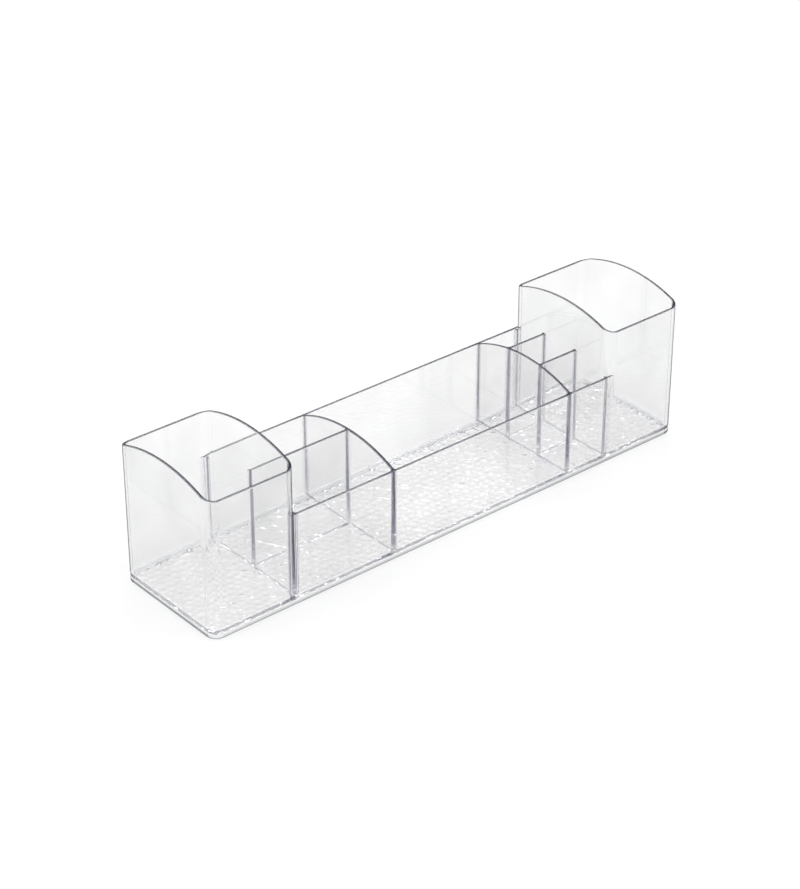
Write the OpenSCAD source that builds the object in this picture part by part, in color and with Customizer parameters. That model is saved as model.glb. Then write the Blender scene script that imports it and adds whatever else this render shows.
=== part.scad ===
// Clear moulded vanity organizer. Two tall open bins stand at the ends of one long base.
// Low walls run between them, and arched cross dividers and straight long dividers part
// that low run into a pair of compartments, a long centre tray and three narrow slots.
// Millimetres, +Z up. The origin is on the resting plane, midway along and across the base.

/* [Overall] */
// Length of the organizer, outside
tray_length = 381; // [330:1:460]
// Depth of the organizer from front to rear, outside
tray_depth = 90; // [76:1:120]
// Radius of the upright outside corners
corner_radius = 8; // [5:0.5:12]

/* [Base] */
// Height of the rim that the organizer stands on
foot_height = 3.4; // [2.4:0.2:6]
// Width of the rim that the organizer stands on
foot_width = 2.8; // [2.4:0.2:4.6]
// Rounding of the foot rim's lower outside edge
foot_round = 2; // [0.4:0.1:2.2]
// Thickness of the floor
floor_thickness = 2.4; // [1.6:0.1:4]

/* [Tall bins] */
// Length of a tall bin along the organizer, outside
bin_length = 64.5; // [50:0.5:80]
// Height of a bin's front and rear rims above the resting plane
bin_height = 94.5; // [82:0.5:130]
// Rise of a bin's arched rims above its front and rear rims
bin_arch_rise = 9.7; // [4:0.1:16]

/* [Low section] */
// Height of the low front and rear walls above the resting plane
low_height = 64; // [40:0.5:76]
// Rise of the arched cross dividers above the low walls
divider_arch_rise = 9.4; // [4:0.1:14]
// Clear length of the paired compartments beside the left bin
paired_length = 73.5; // [50:0.5:100]
// Clear length of the narrow slots beside the right bin
slot_length = 30.5; // [22:0.5:50]

/* [Walls] */
// Thickness of every wall and divider at its rim
rim_thickness = 2; // [1.4:0.1:3]
// Lean of the drafted faces from plumb, in degrees
draft = 0.45; // [0.1:0.05:0.9]

/* [Hidden] */
$fn = 180;

// Colour and clearness of the moulded plastic
plastic_tint = [0.88, 0.91, 0.93];
plastic_alpha = 0.4;
// How far a cutting solid runs past what it cuts
overrun = 4;
// Radius of a rounded rim, as a share of the rim's thickness
nose_share = 0.55;
// Radius of the fillet between a low wall and a bin's round corner, as a share of the widest
// one that ends at the bin's face
wedge_share = 0.9;
// How far that fillet reaches into the wall and the corner, as a share of its radius
wedge_bite_share = 0.1;

// Levels above the resting plane
floor_top = foot_height + floor_thickness;
bin_crown = bin_height + bin_arch_rise;
divider_crown = low_height + divider_arch_rise;

// Faces and centres along X, and the clear depth between the low walls at their rims
bin_face_x = tray_length / 2 - bin_length;
left_divider_x = -bin_face_x + paired_length + rim_thickness / 2;
right_divider_x = bin_face_x - slot_length - rim_thickness / 2;
clear_depth = tray_depth - 2 * rim_thickness;

// The right dividers part the clear depth into three equal slots
slot_width = (clear_depth - 2 * rim_thickness) / 3;
slot_divider_y = (slot_width + rim_thickness) / 2;
nose_radius = rim_thickness * nose_share;

// The fillet where a low wall's inside face runs into a bin's round corner. Its axis is
// placed from the corner's axis.
widest_wedge = (pow(corner_radius, 2) / (2 * corner_radius - rim_thickness) - rim_thickness) / 2;
wedge_radius = widest_wedge * wedge_share;
wedge_bite = wedge_radius * wedge_bite_share;
wedge_y = corner_radius - rim_thickness + wedge_bite - wedge_radius;
wedge_x = sqrt(pow(corner_radius + wedge_radius - wedge_bite, 2) - pow(wedge_y, 2));

// Radius of the circle whose segment has this chord and rise
function arch_radius(chord, rise) = (pow(chord / 2, 2) + rise * rise) / (2 * rise);

// Height of an arched cross divider's rim at a distance y from the middle
function divider_rim_height(y) =
  let (r = arch_radius(clear_depth, divider_arch_rise))
  divider_crown - r + sqrt(r * r - y * y);

// Extra thickness that one drafted face has gained, this far below its rim
function gained(drop) = drop * tan(draft);

// Extrudes a flat profile along +X, with its x as +Y and its y as +Z
module along_x(length) {
  rotate([90, 0, 90])
    linear_extrude(length)
      children();
}

// Carries a wall profile round a rounded rectangle. The profile's x is the distance in
// from the outside face and its y is the height.
module swept_round(length, depth, radius) {
  for (turn = [0:3]) {
    run = (turn % 2 == 0 ? length : depth) - 2 * radius;
    reach = (turn % 2 == 0 ? depth : length) / 2;
    rotate(90 * turn) {
      translate([-run / 2, -reach, 0])
        along_x(run)
          children();
      translate([run / 2, radius - reach, 0])
        rotate(-90)
          rotate_extrude(angle = 90)
            translate([radius, 0])
              mirror([1, 0])
                children();
    }
  }
}

// Outline of the base in plan
module plan_outline(length, depth, radius) {
  square([length, depth - 2 * radius], center = true);
  square([length - 2 * radius, depth], center = true);
  for (x = [-1, 1], y = [-1, 1])
    translate([x * (length / 2 - radius), y * (depth / 2 - radius)])
      circle(radius);
}

// What a rounded rim takes off a wall whose rim is centred on x = 0 at this height
module nose_cut(height) {
  difference() {
    translate([-rim_thickness, height - nose_radius])
      square([2 * rim_thickness, nose_radius + overrun]);
    translate([0, height - nose_radius])
      circle(nose_radius);
  }
}

// What an arched rim leaves above it: x runs across the organizer and y is the height
module above_arch(chord, spring, rise) {
  r = arch_radius(chord, rise);
  difference() {
    translate([-chord / 2 - overrun, spring - rise])
      square([chord + 2 * overrun, 2 * rise + overrun]);
    translate([0, spring + rise - r])
      circle(r);
  }
}

// Profile of a wall with a plumb outside face and a drafted inside face
module wall_profile(height) {
  polygon([
    [0, 0],
    [rim_thickness + gained(height), 0],
    [rim_thickness, height],
    [0, height]
  ]);
}

// Profile of a divider that is drafted on both faces, standing at x = 0
module divider_profile(height) {
  half = rim_thickness / 2;
  polygon([
    [-half - gained(height), 0],
    [half + gained(height), 0],
    [half, height],
    [-half, height]
  ]);
}

// Profile of the foot rim, with its lower outside edge rounded
module foot_profile() {
  difference() {
    square([foot_width, foot_height]);
    difference() {
      square(foot_round);
      translate([foot_round, foot_round])
        circle(foot_round);
    }
  }
}

// Left bin: four drafted walls round an open bin, cut to one arch from front to rear. The
// low walls run on into its two inner round corners.
module bin_shell() {
  difference() {
    union() {
      translate([(bin_length - tray_length) / 2, 0, floor_top])
        swept_round(bin_length, tray_depth, corner_radius)
          wall_profile(bin_crown - floor_top);
      wall_end();
      mirror([0, 1, 0])
        wall_end();
    }
    translate([-tray_length / 2 - overrun, 0, 0])
      along_x(bin_length + 2 * overrun)
        above_arch(tray_depth, bin_height, bin_arch_rise);
  }
}

// Carries the rear wall on from the left bin's face until it runs into the bin's round
// corner, and fillets the narrow wedge between them
module wall_end() {
  translate([-bin_face_x - corner_radius, tray_depth / 2 - corner_radius, floor_top])
    difference() {
      union() {
        translate([0, corner_radius, 0])
          mirror([0, 1, 0])
            along_x(corner_radius)
              low_wall_profile();
        linear_extrude(low_height - rim_thickness - floor_top)
          wedge_fillet();
      }
      translate([0, 0, -overrun])
        cylinder(h = low_height + overrun, r = corner_radius - rim_thickness / 2);
    }
}

// Plan of the fillet between a low wall and a bin's round corner, from the corner's axis
module wedge_fillet() {
  difference() {
    polygon([
      [0, 0],
      [wedge_x, wedge_y],
      [wedge_x, corner_radius - rim_thickness / 2],
      [0, corner_radius - rim_thickness / 2]
    ]);
    translate([wedge_x, wedge_y])
      circle(wedge_radius);
  }
}

// Profile of a low wall with its rounded rim, standing on the floor
module low_wall_profile() {
  height = low_height - floor_top;
  difference() {
    wall_profile(height);
    translate([rim_thickness / 2, 0])
      nose_cut(height);
  }
}

// Low wall along the rear, from bin to bin
module low_wall() {
  translate([-bin_face_x, tray_depth / 2, floor_top])
    mirror([0, 1, 0])
      along_x(2 * bin_face_x)
        low_wall_profile();
}

// Cross divider between the low walls, with an arched and rounded rim
module cross_divider(x) {
  height = divider_crown - floor_top;
  r = arch_radius(clear_depth, divider_arch_rise);
  translate([x, 0, 0])
    difference() {
      intersection() {
        translate([0, tray_depth / 2, floor_top])
          rotate([90, 0, 0])
            linear_extrude(tray_depth)
              divider_profile(height);
        translate([-bin_length / 2, 0, floor_top])
          along_x(bin_length)
            between_low_walls(height);
      }
      translate([0, 0, divider_crown - r])
        rotate([0, 90, 0])
          rotate_extrude()
            arch_nose_cut(r);
    }
}

// Clear space between the drafted inside faces of the low walls, seen along X
module between_low_walls(height) {
  foot = clear_depth / 2 - gained(low_height - floor_top);
  head = foot + gained(height);
  polygon([[-foot, 0], [foot, 0], [head, height], [-head, height]]);
}

// What the rounded arch takes off a cross divider: x is the distance from its centre
module arch_nose_cut(r) {
  difference() {
    translate([r - nose_radius, -rim_thickness])
      square([nose_radius + divider_arch_rise + overrun, 2 * rim_thickness]);
    translate([r - nose_radius, 0])
      circle(nose_radius);
  }
}

// Long divider at y, from the plumb face of the right bin to a cross divider. Its level
// top meets the cross divider's arch.
module long_divider(divider_x, y) {
  height = divider_rim_height(y) - floor_top;
  near = divider_x + rim_thickness / 2;
  intersection() {
    translate([divider_x, y, floor_top])
      along_x(bin_face_x - divider_x)
        difference() {
          divider_profile(height);
          nose_cut(height);
        }
    translate([0, tray_depth / 2, 0])
      rotate([90, 0, 0])
        linear_extrude(tray_depth)
          polygon([
            [near + gained(divider_crown - floor_top), floor_top],
            [bin_face_x, floor_top],
            [bin_face_x, divider_crown],
            [near, divider_crown]
          ]);
  }
}

// Rim under the edge of the floor, which carries the whole organizer
module foot_rim() {
  color(plastic_tint, plastic_alpha)
    swept_round(tray_length, tray_depth, corner_radius)
      foot_profile();
}

// One floor under all the compartments
module floor_panel() {
  color(plastic_tint, plastic_alpha)
    translate([0, 0, foot_height])
      linear_extrude(floor_thickness)
        plan_outline(tray_length, tray_depth, corner_radius);
}

module left_bin() {
  color(plastic_tint, plastic_alpha)
    bin_shell();
}

module right_bin() {
  color(plastic_tint, plastic_alpha)
    mirror([1, 0, 0])
      bin_shell();
}

module rear_wall() {
  color(plastic_tint, plastic_alpha)
    low_wall();
}

module front_wall() {
  color(plastic_tint, plastic_alpha)
    mirror([0, 1, 0])
      low_wall();
}

module left_cross_divider() {
  color(plastic_tint, plastic_alpha)
    cross_divider(left_divider_x);
}

module right_cross_divider() {
  color(plastic_tint, plastic_alpha)
    cross_divider(right_divider_x);
}

// Parts the paired compartments from front to rear
module left_long_divider() {
  color(plastic_tint, plastic_alpha)
    mirror([1, 0, 0])
      long_divider(-left_divider_x, 0);
}

module right_rear_divider() {
  color(plastic_tint, plastic_alpha)
    long_divider(right_divider_x, slot_divider_y);
}

module right_front_divider() {
  color(plastic_tint, plastic_alpha)
    long_divider(right_divider_x, -slot_divider_y);
}

foot_rim();
floor_panel();
left_bin();
right_bin();
rear_wall();
front_wall();
left_cross_divider();
right_cross_divider();
left_long_divider();
right_rear_divider();
right_front_divider();
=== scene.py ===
import bpy
import bmesh
import math
import numpy as np
from mathutils import Matrix, Vector


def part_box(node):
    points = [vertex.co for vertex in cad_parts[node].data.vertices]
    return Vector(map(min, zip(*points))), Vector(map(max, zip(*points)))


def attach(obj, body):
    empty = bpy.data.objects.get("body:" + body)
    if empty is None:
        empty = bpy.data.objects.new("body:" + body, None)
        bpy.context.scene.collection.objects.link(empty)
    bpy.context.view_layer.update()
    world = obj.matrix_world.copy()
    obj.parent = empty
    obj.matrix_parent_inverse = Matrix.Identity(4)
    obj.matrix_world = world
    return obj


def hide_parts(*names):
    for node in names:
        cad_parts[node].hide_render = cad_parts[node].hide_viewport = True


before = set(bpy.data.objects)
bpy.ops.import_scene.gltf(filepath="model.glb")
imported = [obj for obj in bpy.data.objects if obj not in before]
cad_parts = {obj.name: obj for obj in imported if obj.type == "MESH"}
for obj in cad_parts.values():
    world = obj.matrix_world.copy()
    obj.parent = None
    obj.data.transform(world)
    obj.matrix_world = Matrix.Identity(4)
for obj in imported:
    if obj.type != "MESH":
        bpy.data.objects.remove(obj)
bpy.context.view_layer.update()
scene = bpy.context.scene
mm = 0.001  # shapes are worked out in millimetres and brought to metres at the end


# Colours and nodes

# From an sRGB hex value to the linear colour that nodes take
def hexColour(text):
    parts = [int(text[k:k + 2], 16) / 255 for k in (1, 3, 5)]
    return (*[c / 12.92 if c <= 0.04045 else ((c + 0.055) / 1.055) ** 2.4 for c in parts], 1)


def addNode(tree, kind, inputs=None, **settings):
    node = tree.nodes.new(kind)
    for name, value in settings.items():
        setattr(node, name, value)
    for socket, value in (inputs or {}).items():
        if isinstance(value, bpy.types.NodeSocket):
            tree.links.new(value, node.inputs[socket])
        else:
            node.inputs[socket].default_value = value
    return node


def newMaterial(name):
    material = bpy.data.materials.new(name)
    material.use_nodes = True
    material.node_tree.nodes.clear()
    return material


# Clear injection-moulded polystyrene. It is water clear and glossy and bends light strongly.
# A wall seen across looks almost like nothing, but where light has run a long way inside it,
# to a rim or along a divider, it comes out a dark grey violet from the toner in the resin.
# Round corners and rims also get painted shade, a darker tint where they turn from the eye or face
# up.
polystyrene = dict(
    name="MouldedClearPolystyrene",
    ior=1.59,
    roughness=0.0,
    clear="#FDFDFD",     # what one face lets through,
    toned="#FAFAFA",     # and where the resin is a little more toned
    toneSize=38,         # mm, width of the slow change between the two, from the melt's flow
    tonedUpTo=0.35,      # share of that noise that is all toned,
    clearFrom=0.65,      # and from which it is all clear
    deep="#908AA6",      # what is left of white light far inside
    clearFor=2,          # mm that light goes inside without a visible loss
    absorbs=50,          # how fast it is lost beyond that, per metre
    bounces=9,           # after these a ray is let out, as a real wall would in the end
    rippleSize=9,        # mm, spacing of the faint ripples that the flow leaves
    rippleDepth=0.0008,  # mm
    shadow="#F1F1F1",    # what the light of a lamp keeps at each face
    edge="#878B90",      # painted shade where a round corner turns away from the eye
    edgeShadeFrom=0.52,       # how far it has turned where that begins and is complete,
    edgeShadeTo=0.84,         # 0 facing the eye and 1 edge on
    roundTo=0.97,        # a face is round while the largest part of its normal is below this,
    flatFrom=0.998,      # and flat, with no such edge, above this
    rimShadeShare=0.65,       # share of that painted shade on the rims, standing in for how they are lit from inside the walls
    rimShadeFrom=0.3,         # height of the normal where a face begins to count as a rim,
    rimShadeTo=0.9,           # and where it is one
)

# The floor is the same plastic. Its pebbles let light out again before it has run far.
pebbledPolystyrene = dict(
    polystyrene, name="PebbledClearPolystyrene", clear="#FEFEFE", toned="#FCFCFC", absorbs=12,
    edge="#FFFFFF")

# So is the foot, its gloss a little dulled by the counters that it stands on. It has more painted
# shade: its flat side takes the edge's painted shade too, and both take it sooner as they turn from
# the eye.
scuffedAndShadedPolystyrene = dict(
    polystyrene, name="ScuffedClearPolystyrenePaintedShade", roughness=0.05, absorbs=12,
    edge="#9EA3A6", edgeShadeFrom=0.2, edgeShadeTo=0.65, roundTo=1.0, flatFrom=1.01)


def makePolystyrene(p):
    material = newMaterial(p["name"])
    tree = material.node_tree
    place = addNode(tree, "ShaderNodeTexCoord").outputs["Object"]
    tone = addNode(tree, "ShaderNodeTexNoise", {
        "Vector": place, "Scale": 1 / (p["toneSize"] * mm), "Detail": 2.0, "Roughness": 0.4})
    face = addNode(tree, "ShaderNodeValToRGB", {"Fac": tone.outputs["Fac"]})
    face.color_ramp.elements[0].position = p["tonedUpTo"]
    face.color_ramp.elements[0].color = hexColour(p["toned"])
    face.color_ramp.elements[1].position = p["clearFrom"]
    face.color_ramp.elements[1].color = hexColour(p["clear"])

    # What light loses on its way inside, known where it next meets a face from within
    path = addNode(tree, "ShaderNodeLightPath")
    geometry = addNode(tree, "ShaderNodeNewGeometry")
    inside = geometry.outputs["Backfacing"]
    beyond = addNode(tree, "ShaderNodeMath", {
        0: path.outputs["Ray Length"], 1: p["clearFor"] * mm}, operation="SUBTRACT")
    beyond = addNode(tree, "ShaderNodeMath", {0: beyond.outputs[0], 1: 0.0}, operation="MAXIMUM")
    depth = addNode(tree, "ShaderNodeMath", {
        0: beyond.outputs[0], 1: -p["absorbs"]}, operation="MULTIPLY")
    left = addNode(tree, "ShaderNodeMath", {0: depth.outputs[0]}, operation="EXPONENT")
    lost = addNode(tree, "ShaderNodeMath", {0: 1.0, 1: left.outputs[0]}, operation="SUBTRACT")
    lostInside = addNode(tree, "ShaderNodeMath", {
        0: lost.outputs[0], 1: inside}, operation="MULTIPLY")

    # Painted shade: a darker tint on round corners as they turn from the eye and on rims, seen from
    # outside
    turned = addNode(tree, "ShaderNodeLayerWeight", {"Blend": 0.5}).outputs["Facing"]
    edgeShade = addNode(tree, "ShaderNodeMapRange", {
        0: turned, 1: p["edgeShadeFrom"], 2: p["edgeShadeTo"]}, interpolation_type="SMOOTHSTEP")
    normal = geometry.outputs["Normal"]
    upward = addNode(tree, "ShaderNodeSeparateXYZ", {0: normal}).outputs["Z"]
    size = addNode(tree, "ShaderNodeVectorMath", {0: normal}, operation="ABSOLUTE")
    along = addNode(tree, "ShaderNodeSeparateXYZ", {0: size.outputs[0]})
    largest = addNode(tree, "ShaderNodeMath", {
        0: along.outputs["X"], 1: along.outputs["Y"]}, operation="MAXIMUM")
    largest = addNode(tree, "ShaderNodeMath", {
        0: largest.outputs[0], 1: along.outputs["Z"]}, operation="MAXIMUM")
    isRound = addNode(tree, "ShaderNodeMapRange", {
        0: largest.outputs[0], 1: p["roundTo"], 2: p["flatFrom"], 3: 1.0, 4: 0.0},
        interpolation_type="SMOOTHSTEP")
    edgeShade = addNode(tree, "ShaderNodeMath", {
        0: edgeShade.outputs[0], 1: isRound.outputs[0]}, operation="MULTIPLY")
    # Painted shade on faces that look up, the rims, as a share of the edge's tone
    rimShade = addNode(tree, "ShaderNodeMapRange", {
        0: upward, 1: p["rimShadeFrom"], 2: p["rimShadeTo"], 4: p["rimShadeShare"]},
        interpolation_type="SMOOTHSTEP")
    most = addNode(tree, "ShaderNodeMath", {
        0: edgeShade.outputs[0], 1: rimShade.outputs[0]}, operation="MAXIMUM")
    outside = addNode(tree, "ShaderNodeMath", {0: 1.0, 1: inside}, operation="SUBTRACT")
    edge = addNode(tree, "ShaderNodeMath", {
        0: most.outputs[0], 1: outside.outputs[0]}, operation="MULTIPLY")
    # Painted shade: the edge colour mixed over the face colour
    surface = addNode(tree, "ShaderNodeMix", {
        0: edge.outputs[0], 6: face.outputs["Color"], 7: hexColour(p["edge"])}, data_type="RGBA")
    colour = addNode(tree, "ShaderNodeMix", {
        0: lostInside.outputs[0], 6: surface.outputs[2], 7: hexColour(p["deep"])}, data_type="RGBA")

    ripple = addNode(tree, "ShaderNodeTexNoise", {
        "Vector": place, "Scale": 1 / (p["rippleSize"] * mm), "Detail": 1.0, "Roughness": 0.3})
    bump = addNode(tree, "ShaderNodeBump", {
        "Height": ripple.outputs["Fac"], "Distance": p["rippleDepth"] * mm, "Strength": 1.0})
    plastic = addNode(tree, "ShaderNodeBsdfGlass", {
        "Color": colour.outputs[2], "Roughness": p["roughness"], "IOR": p["ior"],
        "Normal": bump.outputs["Normal"]})

    # Light from the lamps passes straight through, and so does a ray that is caught inside
    passing = addNode(tree, "ShaderNodeMix", {
        0: path.outputs["Is Shadow Ray"], 6: face.outputs["Color"], 7: hexColour(p["shadow"])},
        data_type="RGBA")
    through = addNode(tree, "ShaderNodeBsdfTransparent", {"Color": passing.outputs[2]})
    caught = addNode(tree, "ShaderNodeMath", {
        0: path.outputs["Ray Depth"], 1: p["bounces"] + 0.5}, operation="GREATER_THAN")
    letOut = addNode(tree, "ShaderNodeMath", {
        0: path.outputs["Is Shadow Ray"], 1: caught.outputs[0]}, operation="MAXIMUM")
    both = addNode(tree, "ShaderNodeMixShader", {
        0: letOut.outputs[0], 1: plastic.outputs[0], 2: through.outputs[0]})
    addNode(tree, "ShaderNodeOutputMaterial", {"Surface": both.outputs[0]})
    return material


# Where two named pieces of the one moulding meet there is no surface, only plastic, so
# light passes the faces between them as if they weren't there.
def makeThroughPlastic():
    material = newMaterial("PlasticInsideJoin")
    tree = material.node_tree
    clear = addNode(tree, "ShaderNodeBsdfTransparent", {"Color": (1, 1, 1, 1)})
    addNode(tree, "ShaderNodeOutputMaterial", {"Surface": clear.outputs[0]})
    return material


plasticMaterial = makePolystyrene(polystyrene)
floorMaterial = makePolystyrene(pebbledPolystyrene)
footMaterial = makePolystyrene(scuffedAndShadedPolystyrene)
joinMaterial = makeThroughPlastic()
print("materials ready")


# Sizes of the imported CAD, in millimetres

def sizesOf(node):
    return [Vector([round(c / mm, 3) for c in corner]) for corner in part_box(node)]


def middleOf(node, axis):
    low, high = sizesOf(node)
    return (low[axis] + high[axis]) / 2


halfLength, halfDepth = sizesOf("foot_rim")[1].x, sizesOf("foot_rim")[1].y
floorUnder, floorTop = sizesOf("floor_panel")[0].z, sizesOf("floor_panel")[1].z
binFace = sizesOf("right_bin")[0].x
lowTop = sizesOf("rear_wall")[1].z
leftCrossX = middleOf("left_cross_divider", 0)
rightCrossX = middleOf("right_cross_divider", 0)
slotY = middleOf("right_rear_divider", 1)

# What all walls share, in millimetres and degrees
moulding = dict(
    cornerRadius=8,
    cornerSteps=14,  # faces round each corner
    rim=2.0,         # thickness of every wall at its rim
    draft=0.45,      # how far the inside faces lean
    nose=0.95,       # radius of a rim's rounded edges
    root=0.6,        # radius of the fillets where walls stand on the floor
    flare=1.6,       # radius of the fillets where a divider's end meets a wall
    steps=5,         # faces across each of those rounded edges
    sink=0.03,       # how far a fillet runs into what it meets, to cut it cleanly
    deep=1.0,        # how far a divider's end is set into a wall
    buried=0.5,      # how far under the floor's top every wall starts
    weld=0.002,      # points closer than this are one
    sharp=35,        # angle from which an edge stays sharp
)
rim, nose, root, wideEnd = moulding["rim"], moulding["nose"], moulding["root"], moulding["flare"]
sink, deep = moulding["sink"], moulding["deep"]
lean = math.tan(math.radians(moulding["draft"]))
buried = floorTop - moulding["buried"]
turns = [math.radians(90 * k / moulding["steps"]) for k in range(moulding["steps"] + 1)]


# Shapes. Every wall is a skin over a row of sections, each the same list of points
# carried along, so that its rim, its draft and the fillets at its roots are all in one.

def skin(name, sections, ring=False, material=plasticMaterial):
    count, rows = len(sections[0]), len(sections)
    faces = []
    for r in range(rows if ring else rows - 1):
        here, there = r * count, (r + 1) % rows * count
        for k in range(count):
            n = (k + 1) % count
            faces.append((here + k, here + n, there + n, there + k))
    if not ring:
        faces += [tuple(range(count))[::-1], tuple(range((rows - 1) * count, rows * count))]
    mesh = bpy.data.meshes.new(name)
    mesh.from_pydata([tuple(point) for section in sections for point in section], [], faces)
    mesh.materials.append(material)
    shape = bmesh.new()
    shape.from_mesh(mesh)
    bmesh.ops.recalc_face_normals(shape, faces=shape.faces)
    shape.to_mesh(mesh)
    shape.free()
    solid = bpy.data.objects.new(name, mesh)
    scene.collection.objects.link(solid)
    return solid


def block(name, low, high, material):
    plan = [(low[0], low[1]), (high[0], low[1]), (high[0], high[1]), (low[0], high[1])]
    sections = [[(x, y, z) for x, y in plan] for z in (low[2], high[2])]
    return skin(name, sections, material=material)


def applied(body):
    depsgraph = bpy.context.evaluated_depsgraph_get()
    mesh = bpy.data.meshes.new_from_object(body.evaluated_get(depsgraph))
    body.modifiers.clear()
    body.data = mesh
    return body


def combine(body, tool, operation):
    step = body.modifiers.new("combine", "BOOLEAN")
    step.operation = operation
    step.solver = "EXACT"
    step.material_mode = "TRANSFER"
    step.object = tool
    applied(body)
    bpy.data.objects.remove(tool)
    return body


def thickness(top, z):
    return rim + (top - z) * lean


def archHeight(y, chord, spring, rise):
    radius = ((chord / 2) ** 2 + rise ** 2) / (2 * rise)
    return spring + rise - radius + math.sqrt(radius * radius - y * y)


# One plan for everything that follows the outline: offset runs inwards from the outside.
# Points between the corners let a rim follow its arch.
def outline(low, high, offset, between):
    radius = moulding["cornerRadius"]
    points = []
    for signX, signY, start in ((1, 1, 0), (-1, 1, 90), (-1, -1, 180), (1, -1, 270)):
        centreX = high - radius if signX > 0 else low + radius
        centreY = signY * (halfDepth - radius)
        for k in range(moulding["cornerSteps"] + 1):
            angle = math.radians(start + 90 * k / moulding["cornerSteps"])
            points.append((centreX + (radius - offset) * math.cos(angle),
                           centreY + (radius - offset) * math.sin(angle)))
        if start in (90, 270):
            x, y = points[-1]
            points += [(x, y - 2 * y * k / between) for k in range(1, between)]
    return points


# The foot and the floor under everything, from the roof of the recess underneath, down and
# round the foot, and up the outside
foot = dict(
    width=2.8,
    innerRound=0.4,  # radius of its lower edge towards the recess,
    outerRound=2.0,  # and of the one on the outside
)


def floorAndFoot(p):
    wide, inner, outer = p["width"], p["innerRound"], p["outerRound"]
    rows = [(wide + root - root * math.sin(a), floorUnder - root + root * math.cos(a))
            for a in turns]
    rows += [(wide - inner + inner * math.cos(a), inner - inner * math.sin(a)) for a in turns]
    rows += [(outer - outer * math.sin(a), outer - outer * math.cos(a)) for a in turns]
    rows.append((0, floorTop))
    sections = []
    for offset, z in rows:
        plan = outline(-halfLength, halfLength, offset, between=1)
        sections.append([(x, y, z) for x, y in plan])
    return skin("moulding", sections)


# Section of a wall with a plumb outside: how far in from the outside, and how high
def wallRows(thickTop, top):
    thick = thickness(thickTop, top)
    rows = [(0, buried)]
    rows += [(nose - nose * math.cos(a), top - nose + nose * math.sin(a)) for a in turns]
    rows += [(thick - nose + nose * math.cos(a), top - nose + nose * math.sin(a))
             for a in turns[::-1]]
    for a in turns:
        z = floorTop - sink + root - root * math.sin(a)
        rows.append((thickness(thickTop, z) + root - root * math.cos(a), z))
    rows.append((thickness(thickTop, buried) + root, buried))
    return rows


tallBin = dict(
    shoulder=94.5,  # height of the front and rear rims
    rise=9.7,       # how much higher the arched rims are halfway
    archSteps=38,   # faces along each arch, between the corners
)


def binRing(low, high, p):
    steps = p["archSteps"]
    crest = outline(low, high, rim / 2, steps)
    crown = p["shoulder"] + p["rise"]
    tops = [archHeight(y, 2 * halfDepth, p["shoulder"], p["rise"]) for x, y in crest]
    table = [wallRows(crown, top) for top in tops]
    plans = {}
    sections = []
    for k, rows in enumerate(table):
        section = []
        for offset, z in rows:
            plan = plans.setdefault(round(offset, 6), outline(low, high, offset, steps))
            section.append((*plan[k], z))
        sections.append(section)
    return skin("ring", sections, ring=True)


lowWall = dict(into=10)  # how far it runs on into the bins' flat sides


def lowWallSolid(side, p):
    end = binFace + p["into"]
    rows = wallRows(lowTop, lowTop)
    sections = [[(x, side * (halfDepth - offset), z) for offset, z in rows] for x in (-end, end)]
    return skin("wall", sections)


# A low wall runs on until it meets the bin's round corner, and a fillet fills the narrow
# wedge that is left between them. Its plan is drawn from the corner's axis, with its first
# axis towards the middle of the tray.
wedge = dict(
    radius=2.2,
    hidden=1.0,   # how far it runs on inside the wall and the corner
    top=0.8,      # how far it stays under the low wall's rim
    extra=2,      # faces across it beyond those of the other fillets
)


def wedgeCentre(z, p):
    reach = moulding["cornerRadius"] - sink + p["radius"]
    centreY = moulding["cornerRadius"] - thickness(lowTop, z) + sink - p["radius"]
    return math.sqrt(reach ** 2 - centreY ** 2), centreY


def wedgeSolid(sideX, sideY, p):
    corner, radius, hidden = moulding["cornerRadius"], p["radius"], p["hidden"]
    axisX, axisY = binFace + corner, halfDepth - corner
    sections = []
    for z in (buried, lowTop - p["top"]):
        face = corner - thickness(lowTop, z)
        centreX, centreY = wedgeCentre(z, p)
        start, stop = math.pi + math.atan2(centreY, centreX), math.pi / 2
        plan = []
        count = moulding["steps"] + p["extra"]
        for k in range(count + 1):
            a = start + (stop - start) * k / count
            plan.append((centreX + radius * math.cos(a), centreY + radius * math.sin(a)))
        plan += [(centreX, face + hidden), (corner - 2 * hidden, face + hidden)]
        inside = (corner - hidden) / (corner - sink + radius)
        plan.append((inside * centreX, inside * centreY))
        sections.append([(sideX * (axisX - u), sideY * (axisY + v), z) for u, v in plan])
    return skin("wedge", sections)


# The fillet along the foot of a bin's inner side and round its corners, into the low walls
rootStripSweep = dict(
    inside=0.4,  # how far it runs on inside the wall
    turn=60,     # degrees that it follows each corner
    steps=10,
)


def rootStrip(sideX, p):
    rows = [(-p["inside"], buried), (-p["inside"], floorTop + root - sink)]
    rows += [(root - root * math.cos(a), floorTop + root - sink - root * math.sin(a))
             for a in turns]
    rows.append((root, buried))
    corner = moulding["cornerRadius"]
    path = []
    for sideY in (-1, 1):
        arc = [math.radians(p["turn"] * k / p["steps"]) for k in range(p["steps"] + 1)]
        for a in arc[::-1] if sideY < 0 else arc:
            path.append((sideY * (halfDepth - corner), math.cos(a), sideY * math.sin(a)))
    sections = []
    for middleY, towards, across in path:
        sections.append([(sideX * (binFace + corner - (corner + u) * towards),
                          middleY + (corner + u) * across, z) for u, z in rows])
    return skin("strip", sections)


# A divider between two faces. Its sides flare into both faces and into the floor, its rim is
# round, and both ends are set into what it grows from.
def flare(distance, radius):
    return radius - math.sqrt(max(0, radius ** 2 - (radius - min(max(distance, 0), radius)) ** 2))


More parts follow.
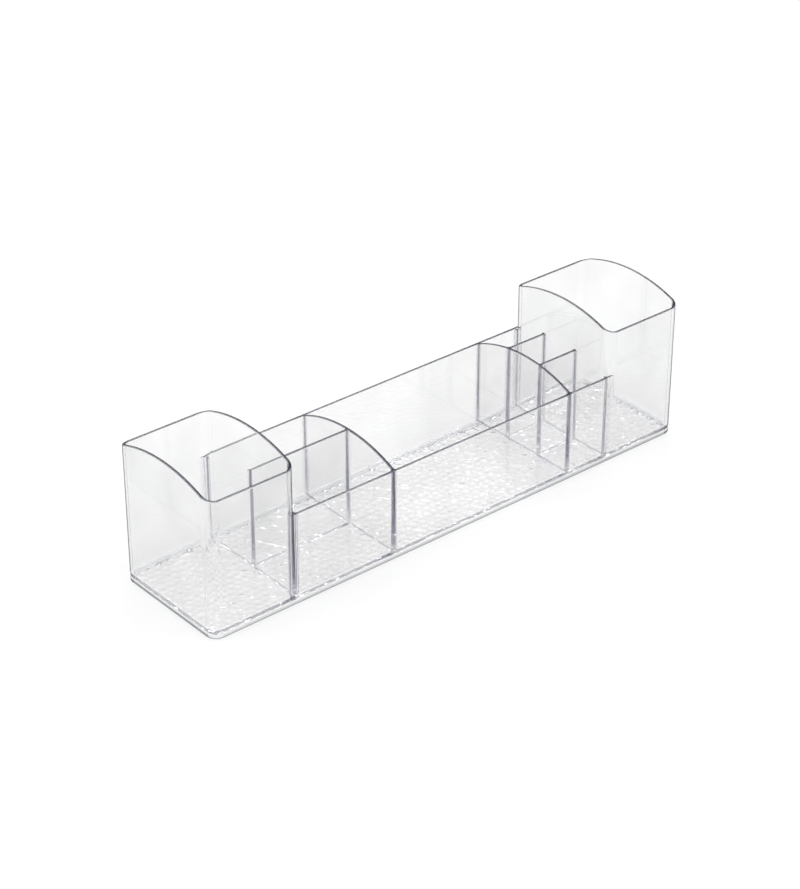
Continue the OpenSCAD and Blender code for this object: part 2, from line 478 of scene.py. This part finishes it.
def dividerSolid(startFace, endFace, rimAt, ownTop, between, place):
    near = [root - root * math.sin(a) for a in turns]  # from the fillet's outer edge to the floor
    stations = [(-deep, wideEnd)]
    for a in turns[::-1]:
        away = wideEnd - wideEnd * math.sin(a)
        stations.append((away - sink, flare(away, wideEnd)))
    middle = [k / between for k in range(1, between)]
    past = wideEnd - sink
    sections = []

    def addSection(along, extra):
        top = rimAt(along(lowTop))
        levels = [buried] + [floorTop - sink + d for d in near[::-1]] + [top - nose]
        side = []
        for z in levels:
            atFloor = flare(z - floorTop + sink, root)
            wide = rim / 2 + (ownTop - z) * lean + extra + atFloor * (1 - extra / wideEnd)
            side.append((wide, z))
        wide = side[-1][0]
        side += [(wide * math.cos(a), top - nose + nose * math.sin(a)) for a in turns[1:-1]]
        across = [(-w, z) for w, z in side] + [(0, top)] + [(w, z) for w, z in side[::-1]]
        sections.append([place(along(z), w, z) for w, z in across])

    for step, extra in stations:
        addSection(lambda z, s=step: startFace(z) + s, extra)
    for share in middle:
        addSection(lambda z, s=share: (startFace(z) + past) * (1 - s) + (endFace(z) - past) * s, 0)
    for step, extra in stations[::-1]:
        addSection(lambda z, s=step: endFace(z) - s, extra)
    return skin("divider", sections)


# The arched rim of the cross dividers, which springs from the low walls
arch = dict(
    rise=9.4,
    steps=44,  # faces along it
    dip=0.05,  # how far a long divider's rim stays under the arch that it meets
)
crown = lowTop + arch["rise"]


def dividerRim(y):
    return archHeight(y, 2 * (halfDepth - rim), lowTop, arch["rise"])


def lowFace(side):
    return lambda z: side * (halfDepth - thickness(lowTop, z))


def crossDividerSolid(x):
    return dividerSolid(lowFace(-1), lowFace(1), dividerRim, crown, between=arch["steps"],
                        place=lambda along, across, z: (x + across, along, z))


def longDividerSolid(y, startFace, endFace):
    top = dividerRim(y) - arch["dip"]
    return dividerSolid(startFace, endFace, lambda along: top, top, between=2,
                        place=lambda along, across, z: (along, y + across, z))


def crossFace(x, side):
    return lambda z: x + side * (rim / 2 + (crown - z) * lean)


body = floorAndFoot(foot)
parts = [binRing(-halfLength, -binFace, tallBin), binRing(binFace, halfLength, tallBin)]
parts += [lowWallSolid(side, lowWall) for side in (-1, 1)]
parts += [wedgeSolid(sideX, sideY, wedge) for sideX in (-1, 1) for sideY in (-1, 1)]
parts += [rootStrip(side, rootStripSweep) for side in (-1, 1)]
parts += [crossDividerSolid(x) for x in (leftCrossX, rightCrossX)]
parts.append(longDividerSolid(0, lambda z: -binFace, crossFace(leftCrossX, -1)))
parts += [longDividerSolid(y, crossFace(rightCrossX, 1), lambda z: binFace)
          for y in (-slotY, slotY)]
for part in parts:
    combine(body, part, "UNION")
print("moulding:", len(body.data.polygons), "faces")


def welded(body, distance):
    shape = bmesh.new()
    shape.from_mesh(body.data)
    bmesh.ops.remove_doubles(shape, verts=shape.verts, dist=distance)
    bmesh.ops.dissolve_degenerate(shape, edges=shape.edges, dist=distance)
    torn = sum(len(edge.link_faces) != 2 for edge in shape.edges)
    shape.to_mesh(body.data)
    shape.free()
    return torn


print("edges that don't join two faces:", welded(body, moulding["weld"]))


# The pieces, cut from the moulding where the CAD nodes meet. A cut runs just past the
# fillets, so that it crosses flat plastic only.

cuts = dict(
    past=0.1,  # mm past a fillet
    far=5,     # mm past the outside
)
pastRoot = wideEnd + cuts["past"]
footCut = floorUnder - cuts["past"]
upperCut = floorTop + pastRoot
binCut = binFace + moulding["cornerRadius"] - wedgeCentre(buried, wedge)[0] - cuts["past"]
wallCut = halfDepth - thickness(lowTop, floorTop) - pastRoot
dividerHalf = rim / 2 + (crown - floorTop) * lean + pastRoot
farX, farY = halfLength + cuts["far"], halfDepth + cuts["far"]
farZ = tallBin["shoulder"] + tallBin["rise"] + cuts["far"]


def cutPiece(p, low, high):
    piece = bpy.data.objects.new(p["name"], body.data.copy())
    scene.collection.objects.link(piece)
    return combine(piece, block("cut", low, high, joinMaterial), "INTERSECT")


def finishPiece(piece, p):
    torn = welded(piece, moulding["weld"])
    for k, material in enumerate(piece.data.materials):
        if material == plasticMaterial:
            piece.data.materials[k] = p.get("plastic", plasticMaterial)
    piece.data.transform(Matrix.Scale(mm, 4))
    for face in piece.data.polygons:
        face.use_smooth = True
    piece.data.set_sharp_from_angle(angle=math.radians(moulding["sharp"]))
    even = piece.modifiers.new("even normals", "WEIGHTED_NORMAL")
    even.weight = 100
    even.keep_sharp = True
    applied(piece)
    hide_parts(p["node"])
    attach(piece, "root")
    print(p["name"], len(piece.data.polygons), "faces,", torn, "torn edges")


def makePiece(p, low, high):
    finishPiece(cutPiece(p, low, high), p)


# The floor is smooth on top and pebbled underneath, with low domes packed side by side
floorPanel = dict(
    name="floor_panel_pebbled",
    node="floor_panel",
    plastic=floorMaterial,
    pitch=5.6,           # mm between domes
    jitter=0.25,         # how far a dome strays, as a share of the pitch
    sizes=(0.85, 1.15),  # how much domes differ in size
    swell=0.24,          # mm, how far the domes stand out
    soft=0.25,           # how soft the creases between them are
    deepest=1.6,         # depth of the deepest creases, as a share of the swell
    skinned=0.02,        # mm that the domes' crowns stay above the plain underside
    grid=0.7,            # mm between the points of the surface
    inset=3.3,           # mm from the outside of the tray
    spare=4,             # rows and columns of domes past each side of the tray
    near=2,              # rows and columns round a point whose domes shape it
    below=1,             # mm that the tool which cuts them reaches under the floor
    seed=11,
)


# How deep the creases go at each point: nothing at a dome's crown, most between domes
def pebbleHeights(xs, ys, p):
    random = np.random.default_rng(p["seed"])
    pitch, row, spare = p["pitch"], p["pitch"] * math.sqrt(3) / 2, p["spare"]
    columns = int(2 * halfLength / pitch) + 2 * spare
    rows = int(2 * halfDepth / row) + 2 * spare
    stray = random.uniform(-1, 1, (rows, columns, 2)) * p["jitter"] * pitch
    size = random.uniform(*p["sizes"], (rows, columns))
    gridX, gridY = np.meshgrid(xs, ys)
    atRow = np.floor((gridY + halfDepth) / row).astype(int) + spare
    total = np.zeros_like(gridX)
    near = range(-p["near"], p["near"] + 1)
    for stepY in near:
        r = np.clip(atRow + stepY, 0, rows - 1)
        shift = (r % 2) * pitch / 2
        atColumn = np.floor((gridX + halfLength - shift) / pitch).astype(int) + spare
        for stepX in near:
            c = np.clip(atColumn + stepX, 0, columns - 1)
            domeX = (c - spare + 0.5) * pitch - halfLength + shift + stray[r, c, 0]
            domeY = (r - spare + 0.5) * row - halfDepth + stray[r, c, 1]
            away = ((gridX - domeX) ** 2 + (gridY - domeY) ** 2) / (pitch / 2) ** 2 / size[r, c]
            total += np.exp(-away / p["soft"])

    # A smooth least distance to a dome, kept finite where none is near
    crease = -p["soft"] * np.log(np.maximum(total, 1e-12))
    return p["swell"] * np.clip(crease, 0, p["deepest"])


# The space under the domes, which is cut out of the floor
def pebbleTool(p):
    halfX, halfY = halfLength - p["inset"], halfDepth - p["inset"]
    xs = np.linspace(-halfX, halfX, int(2 * halfX / p["grid"]))
    ys = np.linspace(-halfY, halfY, int(2 * halfY / p["grid"]))
    heights = pebbleHeights(xs, ys, p)
    gridX, gridY = np.meshgrid(xs, ys)
    across, along = len(xs), len(ys)
    tops = np.stack([gridX, gridY, floorUnder + p["skinned"] + heights], -1).reshape(-1, 3)
    edge = list(range(across)) + [r * across + across - 1 for r in range(1, along)]
    edge += [(along - 1) * across + k for k in range(across - 2, -1, -1)]
    edge += [r * across for r in range(along - 2, 0, -1)]
    bottom = floorUnder - p["below"]
    corners = [tuple(point) for point in tops] + [(*tops[k][:2], bottom) for k in edge]
    faces = []
    for r in range(along - 1):
        for k in range(r * across, r * across + across - 1):
            faces.append((k, k + 1, k + across + 1, k + across))
    start, count = len(tops), len(edge)
    for k in range(count):
        n = (k + 1) % count
        faces.append((edge[k], start + k, start + n, edge[n]))
    faces.append(tuple(range(start, start + count))[::-1])
    mesh = bpy.data.meshes.new("pebbles")
    mesh.from_pydata(corners, [], faces)
    mesh.materials.append(plasticMaterial)
    tool = bpy.data.objects.new("pebbles", mesh)
    scene.collection.objects.link(tool)
    return tool


floorPiece = cutPiece(floorPanel, (-farX, -farY, footCut), (farX, farY, upperCut))
combine(floorPiece, pebbleTool(floorPanel), "DIFFERENCE")
finishPiece(floorPiece, floorPanel)

footRim = dict(name="foot_rim_clear", node="foot_rim", plastic=footMaterial)
makePiece(footRim, (-farX, -farY, -cuts["far"]), (farX, farY, footCut))

leftBin = dict(name="left_bin_clear", node="left_bin")
makePiece(leftBin, (-farX, -farY, upperCut), (-binCut, farY, farZ))
rightBin = dict(name="right_bin_clear", node="right_bin")
makePiece(rightBin, (binCut, -farY, upperCut), (farX, farY, farZ))

rearWall = dict(name="rear_wall_clear", node="rear_wall")
makePiece(rearWall, (-binCut, wallCut, upperCut), (binCut, farY, farZ))
frontWall = dict(name="front_wall_clear", node="front_wall")
makePiece(frontWall, (-binCut, -farY, upperCut), (binCut, -wallCut, farZ))

for p, x in ((dict(name="left_cross_divider_clear", node="left_cross_divider"), leftCrossX),
             (dict(name="right_cross_divider_clear", node="right_cross_divider"), rightCrossX)):
    makePiece(p, (x - dividerHalf, -wallCut, upperCut), (x + dividerHalf, wallCut, farZ))

leftLong = dict(name="left_long_divider_clear", node="left_long_divider")
makePiece(leftLong, (-binCut, -dividerHalf, upperCut),
          (leftCrossX - dividerHalf, dividerHalf, farZ))
for p, y in ((dict(name="right_rear_divider_clear", node="right_rear_divider"), slotY),
             (dict(name="right_front_divider_clear", node="right_front_divider"), -slotY)):
    makePiece(p, (rightCrossX + dividerHalf, y - dividerHalf, upperCut),
              (binCut, y + dividerHalf, farZ))
bpy.data.objects.remove(body)


# The studio

studio = dict(
    floorRadius=6.0,      # m
    floorSteps=96,
    floorDrop=0.00002,    # m that the paper lies under the foot, so that the two don't fight
    floorColour="#F8F8F8",
    floorWhite=0.5,       # how much of the paper the eye sees as plain white, under the tray
    whiteFrom=0.7,        # m from the tray where that starts to rise,
    whiteBeyond=1.8,      # and where it is all white
    horizon="#FFFFFF",
    ceiling="#E4E6E4",
    whiteUpTo=0.12,       # sine of the elevation where the white backdrop ends,
    greyFrom=0.45,        # and where the grey ceiling begins
    aim=(0, 0, 0.04),     # m, what the lamps point at
)
softboxLeft = dict(name="softbox_left", place=(-1.3, 0.3, 1.6), size=1.4, power=10)
softboxRight = dict(name="softbox_right", place=(1.3, -0.8, 1.6), size=1.4, power=10)
glintLamp = dict(name="glint_lamp", place=(0.88, 1.03, 1.74), size=0.75, power=7)  # on the pebbles


# White paper. It keeps the tray's shadow, and the eye sees it as plain white further out.
def makeFloor(p):
    count, radius = p["floorSteps"], p["floorRadius"]
    ring = []
    for k in range(count):
        angle = 2 * math.pi * k / count
        ring.append((radius * math.cos(angle), radius * math.sin(angle), -p["floorDrop"]))
    mesh = bpy.data.meshes.new("studio_floor")
    mesh.from_pydata(ring, [], [tuple(range(count))])
    floor = bpy.data.objects.new("studio_floor", mesh)
    scene.collection.objects.link(floor)
    material = newMaterial("WhitePaperSweep")
    tree = material.node_tree
    paper = addNode(tree, "ShaderNodeBsdfDiffuse", {"Color": hexColour(p["floorColour"])})
    path = addNode(tree, "ShaderNodeLightPath")
    seen = addNode(tree, "ShaderNodeMath", {
        0: path.outputs["Is Camera Ray"], 1: path.outputs["Is Transmission Ray"]},
        operation="MAXIMUM")
    seen = addNode(tree, "ShaderNodeMath", {
        0: seen.outputs[0], 1: path.outputs["Is Glossy Ray"]}, operation="MAXIMUM")
    place = addNode(tree, "ShaderNodeTexCoord").outputs["Object"]
    away = addNode(tree, "ShaderNodeVectorMath", {0: place}, operation="LENGTH")
    whiteness = addNode(tree, "ShaderNodeMapRange", {
        0: away.outputs["Value"], 1: p["whiteFrom"], 2: p["whiteBeyond"],
        3: p["floorWhite"], 4: 1.0}, interpolation_type="SMOOTHSTEP")
    share = addNode(tree, "ShaderNodeMath", {
        0: seen.outputs[0], 1: whiteness.outputs[0]}, operation="MULTIPLY")
    white = addNode(tree, "ShaderNodeEmission", {"Color": (1, 1, 1, 1), "Strength": 1.0})
    both = addNode(tree, "ShaderNodeMixShader", {
        0: share.outputs[0], 1: paper.outputs[0], 2: white.outputs[0]})
    addNode(tree, "ShaderNodeOutputMaterial", {"Surface": both.outputs[0]})
    mesh.materials.append(material)


# A white backdrop all round, under a ceiling of a light grey
def makeWorld(p):
    world = bpy.data.worlds.new("studio")
    world.use_nodes = True
    tree = world.node_tree
    tree.nodes.clear()
    direction = addNode(tree, "ShaderNodeTexCoord").outputs["Generated"]
    height = addNode(tree, "ShaderNodeSeparateXYZ", {0: direction}).outputs["Z"]
    ramp = addNode(tree, "ShaderNodeValToRGB", {0: height})
    ramp.color_ramp.elements[0].position = p["whiteUpTo"]
    ramp.color_ramp.elements[0].color = hexColour(p["horizon"])
    ramp.color_ramp.elements[1].position = p["greyFrom"]
    ramp.color_ramp.elements[1].color = hexColour(p["ceiling"])
    sky = addNode(tree, "ShaderNodeBackground", {"Color": ramp.outputs[0], "Strength": 1.0})
    addNode(tree, "ShaderNodeOutputWorld", {"Surface": sky.outputs[0]})
    scene.world = world


def addSoftbox(p):
    light = bpy.data.lights.new(p["name"], "AREA")
    light.shape = "SQUARE"
    light.size = p["size"]
    light.energy = p["power"]
    lamp = bpy.data.objects.new(p["name"], light)
    lamp.location = p["place"]
    towards = Vector(studio["aim"]) - Vector(p["place"])
    lamp.rotation_euler = towards.to_track_quat("-Z", "Y").to_euler()
    scene.collection.objects.link(lamp)


makeFloor(studio)
makeWorld(studio)
for softbox in (softboxLeft, softboxRight, glintLamp):
    addSoftbox(softbox)

view = dict(
    azimuth=-40.181,    # degrees, from the front towards the left
    elevation=30.638,
    distance=1.610566,  # m
    target=(-0.005086, 0.005732, 0.041591),
    lens=115.04,        # mm
    sensor=36,          # mm wide
    clip=(0.05, 50),    # m
)


def makeCamera(p):
    turn, tilt = math.radians(p["azimuth"]), math.radians(p["elevation"])
    level = math.cos(tilt)
    back = Vector((math.sin(turn) * level, -math.cos(turn) * level, math.sin(tilt)))
    data = bpy.data.cameras.new("camera")
    data.sensor_fit = "HORIZONTAL"
    data.sensor_width = p["sensor"]
    data.lens = p["lens"]
    data.clip_start, data.clip_end = p["clip"]
    camera = bpy.data.objects.new("camera", data)
    camera.location = Vector(p["target"]) + back * p["distance"]
    camera.rotation_euler = back.to_track_quat("Z", "Y").to_euler()
    scene.collection.objects.link(camera)
    scene.camera = camera


makeCamera(view)
scene.view_settings.view_transform = "Standard"

# Enough bounces for light to get through many clear walls
throughWalls = 32
scene.cycles.max_bounces = throughWalls
scene.cycles.transmission_bounces = throughWalls
scene.cycles.glossy_bounces = throughWalls
scene.cycles.transparent_max_bounces = 2 * throughWalls
print("studio ready")
